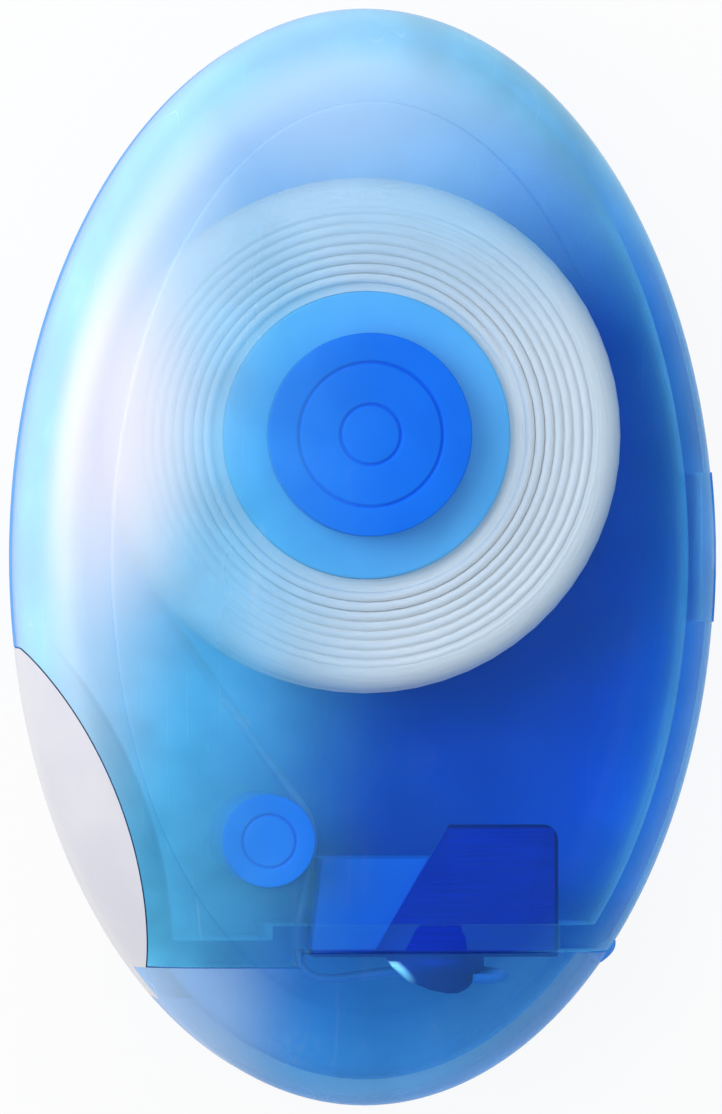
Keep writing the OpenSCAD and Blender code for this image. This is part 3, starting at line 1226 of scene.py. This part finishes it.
    def snap_pieces(self) -> None:
        """The snap tab with its barb, and the ledge that it catches on."""
        ceiling = self.rooted[1]
        (barb, face, back), (low, catch) = self.snap_x, self.snap_z
        tab = [(barb, low), (back, low), (back, ceiling), (face, ceiling), (face, catch), (barb, catch)]
        (left, right), (under, over) = self.ledge_x, self.ledge_z
        ledge = [(left, under), (right, under), (right, over), (left, over)]
        for name, outline, half in (("snap_tab", tab, Half.FRONT), ("snap_ledge", ledge, Half.BACK)):
            shown(self.upright(outline, *self.snap_y), name, Body.CASE, self.walls[half])

    def upright(self, outline: Sequence[tuple], y0: float, y1: float) -> BMesh:
        """A section in X and Z, pushed along Y.

        Args:
            outline: Its corners.
            y0: Where it starts.
            y1: Where it ends.

        Returns:
            The solid with rounded edges.
        """
        bm = prism([(x, -z) for x, z in outline], 0, y1 - y0)
        bmesh.ops.rotate(bm, verts=bm.verts, cent=(0, 0, 0), matrix=Matrix.Rotation(-math.pi / 2, 3, "X"))
        bmesh.ops.translate(bm, verts=bm.verts, vec=(0, y0, 0))
        bmesh.ops.recalc_face_normals(bm, faces=bm.faces)
        bevelled(bm, bm.edges[:], self.soft)
        return bm

    def strap(self) -> None:
        """The strap with its fold, set flush into the right side."""
        outside, mid, fold = self.egg.half_w, self.egg.mid, self.strap_fold
        inside, (low, high) = outside - self.strap_t, self.strap_z
        section = [(inside, low), (outside, low), (outside, mid - fold), (outside - fold, mid),
                   (outside, mid + fold), (outside, high), (inside, high)]
        strap = solid("strap_hinge", self.upright(section, *self.strap_y))
        carved(strap, Carve.KEEP, mesh_of(self.egg.whole(-self.strap_proud, "strap_reach")))
        shown(strap, "strap_hinge", Body.CASE, self.strap_finish, ["case_hinge_strap"])


@dataclass
class Spool:
    """The barrel and the floss wound on it."""

    barrel: Material
    floss: Material
    hub: Span = HUB
    mid: float = 7.0
    barrel_r: float = 7.2
    bore_r: float = 4.6
    barrel_h: float = 7.6
    barrel_soft: float = 0.2
    round_steps: int = 128
    pack_r: float = 12.84
    pack_h: float = 6.88
    pack_round: float = 1.2
    pack_gap: float = 0.02
    pack_drop: float = 0.25
    floss_r: float = 0.25
    floss_sides: int = 8
    turns: int = 31
    per_turn: int = 60
    lay_r: float = 12.69
    lay_z: float = 3.28
    lay_round: float = 1.48
    lay_in: float = 7.75
    sway: float = 0.04
    sway_rate: float = 0.37
    tuck: float = 0.2
    tuck_share: float = 5.0

    def build(self) -> None:
        """Makes every piece of the spool."""
        low, high = self.mid - self.barrel_h / 2, self.mid + self.barrel_h / 2
        section = [(self.bore_r, low), (self.barrel_r, low), (self.barrel_r, high), (self.bore_r, high)]
        barrel = turned_solid(softened(section, self.barrel_soft, 4), self.round_steps, self.hub)
        shown(barrel, "barrel", Body.SPOOL, self.barrel, ["spool_barrel"])
        shown(self.pack(), "floss_core", Body.SPOOL, self.floss, ["floss_pack"])
        shown(self.winding(), "floss_coil", Body.SPOOL, self.floss, ["floss_winding"], crease=60)

    def pack(self) -> BMesh:
        """The inner layers of floss as one ring, rounded at its outer edges.

        Returns:
            The solid.
        """
        half, r = self.pack_h / 2, self.pack_r
        corner = self.pack_round
        inner, end = self.barrel_r + self.pack_gap, half - self.pack_drop
        outline = [(inner, -end)]
        outline += arc((r - corner, corner - half), corner, -90, 0, 8)
        outline += arc((r - corner, half - corner), corner, 0, 90, 8)
        outline.append((inner, end))
        return turned_solid([(x, self.mid + z) for x, z in outline], self.round_steps, self.hub)

    def across(self, s: float) -> Span:
        """Place on the section of the outer layer, from the inner edge in front to that behind.

        Args:
            s: Share of the way, 0 to 1.

        Returns:
            Radius and height over the middle.
        """
        flat = self.lay_r - self.lay_round - self.lay_in
        bend = self.lay_round * math.pi / 2
        side = 2 * (self.lay_z - self.lay_round)
        way = s * (2 * flat + 2 * bend + side)
        if s > 0.5:
            r, z = self.across(1 - s)
            return r, -z
        if way < flat:
            return self.lay_in + way, self.lay_z
        if way < flat + bend:
            turn = (way - flat) / self.lay_round
            return (self.lay_r - self.lay_round * (1 - math.sin(turn)),
                    self.lay_z - self.lay_round * (1 - math.cos(turn)))
        return self.lay_r, self.lay_z - self.lay_round - (way - flat - bend)

    def winding(self) -> BMesh:
        """The outer layer as one unbroken tube, with the small unevenness of winding by machine.

        Returns:
            The tube.
        """
        count = self.turns * self.per_turn
        route = []
        for i in range(count + 1):
            turn = math.tau * i / self.per_turn
            sway = self.sway * math.sin(self.sway_rate * turn) * math.sin(math.pi * i / count)
            r, z = self.across(min(1, max(0, (i + sway * self.per_turn) / count)))
            near_end = max(0, 1 - min(i, count - i) / (self.per_turn / self.tuck_share))
            z *= 1 - self.tuck * near_end**2
            x, y = self.hub[0] + r * math.cos(turn), self.hub[1] + r * math.sin(turn)
            route.append(Vector((x, y, self.mid + z)))
        return swept_tube(route, circle(self.floss_r, self.floss_sides))


@dataclass
class FlossLead:
    """The floss between the spool and the tooth."""

    floss: Material
    radius: float = 0.25
    sides: int = 12
    between: int = 4
    route: Sequence[tuple] = (
        (-10.7, -1.8, 7), (-8.8, -4.4, 7), (-6.9, -7.1, 7), (-5, -9.8, 7), (-3.1, -12.4, 7),
        (-2.6, -13.3, 7), (-2.45, -14.2, 7), (-2.55, -15, 7), (-2.8, -16.8, 7), (-3.1, -18.4, 7),
        (-3.15, -19.8, 7), (-3, -20.6, 7.1), (-2.4, -21.1, 7.3), (-1.4, -21.2, 7.6),
        (0, -21, 8), (1.5, -20.8, 8.4), (3.2, -20.7, 8.7), (4.9, -20.7, 8.8), (6, -20.8, 9),
        (6.8, -20.9, 9.6), (6.9, -21, 10.3), (6.3, -21.1, 10.9), (5.3, -21.1, 11.1),
    )

    def build(self) -> None:
        """Makes the thread, on a smooth curve through the points of its route."""
        points = [Vector(p) for p in self.route]
        ends = [points[0]] + points + [points[-1]]
        route = []
        for i in range(1, len(points)):
            a, b, c, d = ends[i - 1 : i + 3]
            for k in range(self.between):
                t = k / self.between
                bend = (2 * a - 5 * b + 4 * c - d) * t * t + (3 * b - a - 3 * c + d) * t**3
                route.append(b + ((c - a) * t + bend) / 2)
        route.append(points[-1])
        bm = swept_tube(route, circle(self.radius, self.sides))
        shown(bm, "floss_thread", Body.CASE, self.floss, ["floss_lead"], crease=60)


@dataclass
class CutterBlock:
    """The holder and the steel cutter on it."""

    plastic: Material
    steel: Material
    left: float = -2.7
    right: float = 9.7
    foot: float = -19.7
    top: float = -15.1
    z0: float = 3.55
    z1: float = 9.75
    sheet: float = 0.35
    corner_cut: float = 0.5
    holder_edge: float = 0.1
    plate_left: float = 0.25
    plate_head: float = -13.4
    plate_inset: float = 0.05
    plate_slant: float = 3.9
    corner_r: float = 0.75
    corner_steps: int = 6
    sheet_edge: float = 0.05
    tooth: Sequence[tuple] = (
        (0.96, 0), (1.35, 0.55), (2.1, 1.2), (3.2, 1.65), (4.0, 1.8), (4.6, 1.8), (5.1, 1.55), (5.91, 0.5),
        (5.91, 0),
    )
    tooth_left: float = 1.11
    tooth_right: float = 5.91
    bow: float = 0.4
    bow_above: float = 0.3
    bow_fade: float = 0.9
    bow_depth: float = 2.1
    bow_steps: int = 10
    bend_r: float = 0.25
    flange_z: float = 6.15
    flange_overlap: float = 0.3
    flange_edge: float = 0.06

    def build(self) -> None:
        """Makes the holder and the cutter."""
        left, right, foot, top = self.left, self.right, self.foot, self.top
        corners = [(left, foot), (right, foot), (right, top), (left + self.corner_cut, top)]
        holder = prism(corners, self.z0, self.z1, self.holder_edge)
        shown(holder, "cutter_block", Body.CASE, self.plastic, ["cutter_holder"])
        self.cutter()

    def cutter(self) -> None:
        """The cutter: a plate, the flange bent back from its foot and the tooth, which is bowed."""
        low, top = self.foot - self.sheet, self.z1 + self.sheet
        right, left, head, r = self.right - self.plate_inset, self.plate_left, self.plate_head, self.corner_r
        tooth = [(x, low - depth) for x, depth in self.tooth]
        corner = arc((right - r, head - r), r, 0, 90, self.corner_steps)
        outline = [(left, low)] + tooth + [(right, low)] + corner
        bm = prism(outline + [(left + self.plate_slant, head)], self.z1, top)
        foot = [e for e in bm.edges if all(abs(v.co.y - low) + abs(v.co.z - top) < CLOSE for v in e.verts)]
        rest = [e for e in bm.edges if e not in foot and all(v.co.z > top - CLOSE for v in e.verts)]
        bevelled(bm, foot, self.bend_r, 4)
        bevelled(bm, [e for e in rest if e.is_valid], self.sheet_edge)
        self.bowed(bm, low)
        plate = solid("cutter_plate", closed(bm))
        high = self.z1 + self.sheet * self.flange_overlap
        flange = block((self.left, low, self.flange_z), (right, self.foot, high), self.flange_edge)
        carved(plate, Carve.JOIN, flange)
        shown(plate, "cutter_plate", Body.CASE, self.steel, ["cutter"])

    def bowed(self, bm: BMesh, low: float) -> None:
        """Bows the tooth out of the plate, most in its middle and more away from the plate.

        Args:
            bm: The plate with its tooth.
            low: Height along Y of the plate's foot.
        """
        left, right, root = self.tooth_left, self.tooth_right, low + self.bow_above
        for step in range(1, self.bow_steps):
            self.sliced(bm, (left + (right - left) * step / self.bow_steps, 0, 0), (1, 0, 0))
            self.sliced(bm, (0, root - self.bow_depth * step / self.bow_steps, 0), (0, 1, 0))
        middle, half = (left + right) / 2, (right - left) / 2
        for v in bm.verts:
            across = max(0, 1 - ((v.co.x - middle) / half) ** 2)
            v.co.z += self.bow * across * min(1, max(0, (root - v.co.y) / self.bow_fade))

    def sliced(self, bm: BMesh, place: tuple, square: tuple) -> None:
        """Adds a row of edges where a plane meets a mesh.

        Args:
            bm: The mesh.
            place: A point of the plane.
            square: The direction square to it.
        """
        parts = bm.verts[:] + bm.edges[:] + bm.faces[:]
        bmesh.ops.bisect_plane(bm, geom=parts, dist=1e-4, plane_co=place, plane_no=square)


@dataclass
class Lid:
    """The lid: its dome, the thumb tab and the web that it swings on."""

    egg: Egg
    space: LidSpace
    dome: Material
    tab: Material
    root_len: float = 1.6
    root_z: Span = (4.0, 10.0)
    root_x: Span = (-17.6, -8.8)
    root_past: float = 1
    root_overlap: float = 0.05
    past: Span = (-5, 20)
    hinge: Span = (12.3305, -19.775)
    bend: float = 0.3
    web_steps: int = 12
    web_half: float = 0.55
    web_bulge: float = 0.22
    web_t: float = 0.45
    web_inset: float = 0.02
    web_thin: float = 0.35

    def build(self) -> None:
        """Makes the dome, the tab and the web."""
        self.make_dome()
        self.make_tab()
        self.make_web()

    def root_block(self, extra: float) -> BMesh:
        """The space of the tab's root in the lid's wall.

        Args:
            extra: How far it stands past the lid's edge.

        Returns:
            The solid.
        """
        top = self.space.platform - self.space.gap
        (left, right), (low, high) = self.root_x, self.root_z
        return block((left, top - self.root_len, low), (right, top + extra, high))

    def make_dome(self) -> None:
        """The lid's skin."""
        space, far, (low, high) = self.space, self.space.reach, self.past
        dome = self.egg.whole(0, "lid_dome_skin")
        carved(
            dome, Carve.CUT, mesh_of(self.egg.whole(self.egg.wall, "hollow")),
            block((-far, space.platform - space.gap, low), (space.step_x + space.gap, far, high)),
            block((-far, space.step - space.gap, low), (far, far, high)),
            self.root_block(self.root_past),
        )
        shown(dome, "lid_dome_skin", Body.LID, self.dome, ["lid_dome"])

    def make_tab(self) -> None:
        """The thumb tab with its root in the dome's wall."""
        space, far, (low, high) = self.space, self.space.reach, self.past
        tab = self.egg.whole(0, "thumb_tab_skin")
        carved(tab, Carve.KEEP, space.drum(space.hollow_r - space.gap, low, high))
        carved(tab, Carve.CUT, block((-far, -far, low), (far, space.platform - space.gap, high)))
        root = self.egg.whole(0, "tab_root")
        carved(root, Carve.CUT, mesh_of(self.egg.whole(self.egg.wall, "hollow")))
        carved(root, Carve.KEEP, self.root_block(self.root_overlap))
        carved(tab, Carve.JOIN, mesh_of(root))
        shown(tab, "thumb_tab_skin", Body.LID, self.tab, ["thumb_tab"])

    def make_web(self) -> None:
        """The thin web of the hinge, between the case and the lid; it rides on neither body."""
        count, half = self.web_steps, self.web_half
        outside, inside = [], []
        for i in range(count + 1):
            y = self.hinge[1] - half + 2 * half * i / count
            x = self.egg.half_w * math.sqrt(1 - (y / self.egg.half_len) ** 2)
            swell = math.sin(math.pi * i / count)
            outside.append((x + self.web_bulge * swell - self.web_inset, y))
            inside.append((x - self.web_t * (self.web_thin + (1 - self.web_thin) * swell), y))
        web = prism(outside + inside[::-1], *self.root_z)
        bent = shown(web, "hinge_web", None, self.dome, ["lid_hinge_bead"], crease=50)
        y = self.hinge[1] * MM
        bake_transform(bent)


# Studio


@dataclass
class Studio:
    """The camera, the lamps and the floor."""

    photo_h: int = 1114
    mm_per_px: float = 0.05032
    distance: float = 0.6
    tilt: float = 5.0
    aim: Triple = (0.0, 0.0, 0.007)
    surround: float = 0.6
    floor_half: float = 3
    floor_drop: float = 0.00005
    floor_glow: float = 0.9

    def build(self) -> None:
        """Makes the camera, the lamps, the world and the floor."""
        self.camera()
        self.lamps()
        self.world()
        self.floor()
        bpy.context.scene.view_settings.view_transform = "Standard"
        cycles = bpy.context.scene.cycles
        cycles.transparent_max_bounces = 24
        cycles.max_bounces, cycles.diffuse_bounces, cycles.glossy_bounces = 6, 3, 3

    def camera(self) -> None:
        """The camera looks down on the front, a little from the left."""
        data = bpy.data.cameras.new("photo_camera")
        made = bpy.data.objects.new("photo_camera", data)
        bpy.context.scene.collection.objects.link(made)
        height = self.photo_h * self.mm_per_px * MM
        data.sensor_fit = "VERTICAL"
        data.angle = 2 * math.atan(height / 2 / self.distance)
        data.clip_start, data.clip_end = 0.01, 10
        turn = math.radians(self.tilt)
        aim = Vector(self.aim)
        made.location = aim + Vector((-math.sin(turn), 0, math.cos(turn))) * self.distance
        made.rotation_euler = (0, -turn, 0)
        bpy.context.scene.camera = made

    def lamps(self) -> None:
        """A large soft box on the left and a weak one past the round end."""
        self.lamp("soft_box", place=(-0.13, 0.05, 0.14), aim=(0, 0, 0.01), size=(0.14, 0.18), power=0.24)
        self.lamp("fill", place=(0.01, 0.16, 0.15), aim=(0, 0, 0), size=(0.06, 0.045), power=0.06)

    def lamp(self, name: str, place: tuple, aim: tuple, size: tuple, power: float) -> None:
        """An area lamp.

        Args:
            name: Its name.
            place: Where it stands.
            aim: What it points at.
            size: Its width and height.
            power: Its power in watts.
        """
        data = bpy.data.lights.new(name, "AREA")
        data.shape, data.size, data.size_y, data.energy = "RECTANGLE", *size, power
        made = bpy.data.objects.new(name, data)
        bpy.context.scene.collection.objects.link(made)
        made.location = place
        made.visible_camera = False
        made.rotation_euler = (Vector(place) - Vector(aim)).to_track_quat("Z", "Y").to_euler()

    def world(self) -> None:
        """A pale even surround, white where the camera sees it."""
        world = bpy.data.worlds.new("surround")
        bpy.context.scene.world = world
        world.use_nodes = True
        nodes = Nodes(world.node_tree)
        path = nodes.add("LightPath")
        seen = nodes.sum("MAXIMUM", path.outputs["Is Camera Ray"], path.outputs["Is Transmission Ray"])
        level = nodes.ramp(seen, 0, 1, self.surround, 1)
        back = nodes.add("Background", Color=rgba((1, 1, 1)), Strength=level)
        nodes.add("OutputWorld", Surface=back.outputs[0])

    def floor(self) -> None:
        """The floor: white to the eye, and in the object's shadow behind it."""
        bm = bmesh.new()
        bmesh.ops.create_grid(bm, x_segments=8, y_segments=8, size=self.floor_half)
        made = solid("floor", bm)
        made.location.z = -self.floor_drop
        data, nodes = new_material("floor_paper")
        path = nodes.add("LightPath")
        place = nodes.add("TexCoord").outputs["Object"]
        grain = nodes.add("TexNoise", Vector=place, Scale=900.0, Detail=3.0)
        paper = nodes.blend(grain.outputs["Fac"], (0.8, 0.8, 0.81), (0.84, 0.84, 0.84))
        dull = nodes.add("BsdfDiffuse", Color=paper)
        bright = nodes.add("Emission", Color=rgba((1, 1, 1)), Strength=1.0)
        straight = nodes.sum("LESS_THAN", path.outputs["Transparent Depth"], 0.5)
        direct = nodes.sum("MULTIPLY", path.outputs["Is Camera Ray"], straight)
        rays = nodes.sum("MAXIMUM", direct, path.outputs["Is Glossy Ray"])
        rays = nodes.sum("MAXIMUM", rays, path.outputs["Is Transmission Ray"])
        share = nodes.sum("MULTIPLY", rays, self.floor_glow)
        face = nodes.add("MixShader", i0=share, i1=dull.outputs[0], i2=bright.outputs[0])
        nodes.add("OutputMaterial", Surface=face.outputs[0])
        made.data.materials.append(data)


def main() -> None:
    """Builds the dispenser and the studio around it."""
    logging.basicConfig(level=logging.INFO, format="%(name)s: %(message)s")
    handling = handling_group()
    # The clear plastics carry painted light: more milk and a paler tone on the lit upper left and round end,
    # and a painted highlight; on the back shell it stands for light coming through its left side, and on the
    # lid the highlight lies at its lower left end.
    front = ClearPlastic(
        "front_blue", (0.89, 0.945, 0.985), (0.12, 0.61, 1.0), 0.025, 0.55, 0.25, cloud=0.59
    ).material(handling)
    back = ClearPlastic(
        "back_blue", (0.13, 0.64, 0.98), (0.0, 0.14, 0.95), 0.25, 0.3, 0.5, cloud=0.6,
        lit_tone=(0.16, 0.64, 1.0), veil=(0.3, 0.74, 1.0), pale=(-0.45, 0.35),
    ).material(handling)
    strap = ClearPlastic(
        "strap_blue", (0.5, 0.8, 0.98), (0.03, 0.27, 0.85), 0.45, 0.2, 0.25
    ).material(handling)
    dome = ClearPlastic(
        "lid_blue", (0.63, 0.89, 1.0), (0.09, 0.44, 1.0), 0.09, 0.4, 0.25, cloud=0.55,
        veil=(0.4, 0.62, 0.95), highlight_at=(-0.5, -0.8), highlight_in=(1.0, 1.1),
    ).material(handling)
    core = MouldedPlastic("core_blue", (0.0, 0.17, 0.88), (0.0, 0.15, 0.83), 0.5, 0.0).material(handling)
    barrel = MouldedPlastic("barrel_blue", (0.16, 0.56, 1.0), (0.14, 0.53, 0.97), 0.5, 0.0).material(handling)
    deep = MouldedPlastic("holder_blue", (0.0, 0.15, 0.82), (0.0, 0.13, 0.77), 0.5, 0.0).material(handling)
    milky = MouldedPlastic(
        "tab_white", (0.68, 0.68, 0.74), (0.64, 0.64, 0.72), 0.35, marks=1.0, ior=1.4
    ).material(handling)
    floss = WaxedFloss("floss_white", (0.97, 0.9, 0.87), (0.9, 0.84, 0.82), 0.55, HUB).material()
    # The thread is white floss painted dark blue: painted shade, the shaded blue of the case around it.
    thread = WaxedFloss("floss_painted_shade", (0.05, 0.2, 0.62), (0.04, 0.17, 0.56), 0.5, HUB).material()
    # The steel's deep blue is a painted reflection of the blue case around it.
    steel = StampedSteel("cutter_steel_sheet", (0.0, 0.025, 0.66), 0.3).material(handling)
    egg, space = Egg.measured(), LidSpace()
    Studio().build()
    Case(egg, space, {Half.FRONT: front, Half.BACK: back}, strap, core).build()
    Spool(barrel, floss).build()
    FlossLead(thread).build()
    CutterBlock(deep, steel).build()
    Lid(egg, space, dome, milky).build()


if __name__ == "__main__":
    main()
